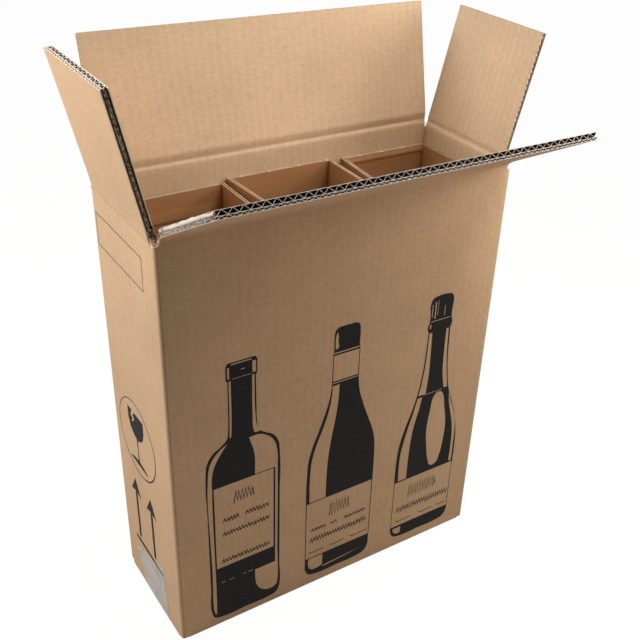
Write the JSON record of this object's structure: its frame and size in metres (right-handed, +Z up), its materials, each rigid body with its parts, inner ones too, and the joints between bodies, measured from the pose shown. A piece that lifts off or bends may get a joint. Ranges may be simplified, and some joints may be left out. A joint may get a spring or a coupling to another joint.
{
  "type": "bottle shipping box",
  "caption": "Tall corrugated carton for shipping wine bottles upright, its four top flaps standing open over square corrugated sleeves that each hold one bottle.",
  "frame": {"origin": "middle of the carton's underside, on the floor", "axes": "+Z up the carton, +X along its long wall to the right, the long front wall faces -Y"},
  "size_m": [0.3695, 0.2297, 0.4995],
  "materials": {
    "carton_board": "matte kraft, fine fibres",
    "sleeve_board": "matte kraft",
    "tape_film": "thin translucent film"
  },
  "bodies": {
    "carton": {"carton_body": "carton_board", "left_sleeve": "sleeve_board", "middle_sleeve": "sleeve_board", "right_sleeve": "sleeve_board", "sealing_tape": "tape_film"},
    "front_flap": {"front_flap": "carton_board"},
    "back_flap": {"back_flap": "carton_board"},
    "left_flap": {"left_flap": "carton_board"},
    "right_flap": {"right_flap": "carton_board"}
  },
  "joints": [
    {"name": "front_flap_fold", "type": "hinge", "parent": "carton", "child": "front_flap", "pos_m": [0, -0.0595, 0.3967], "axis": [-1, 0, 0], "range_deg": [-113.8, 151.2]},
    {"name": "back_flap_fold", "type": "hinge", "parent": "carton", "child": "back_flap", "pos_m": [0, 0.0595, 0.4029], "axis": [1, 0, 0], "range_deg": [-163.2, 101.8]},
    {"name": "left_flap_fold", "type": "hinge", "parent": "carton", "child": "left_flap", "pos_m": [-0.1595, 0, 0.3905], "axis": [0, 1, 0], "range_deg": [-162.5, 102.5]},
    {"name": "right_flap_fold", "type": "hinge", "parent": "carton", "child": "right_flap", "pos_m": [0.1595, 0, 0.3905], "axis": [0, -1, 0], "range_deg": [-160.9, 104.1]}
  ]
}
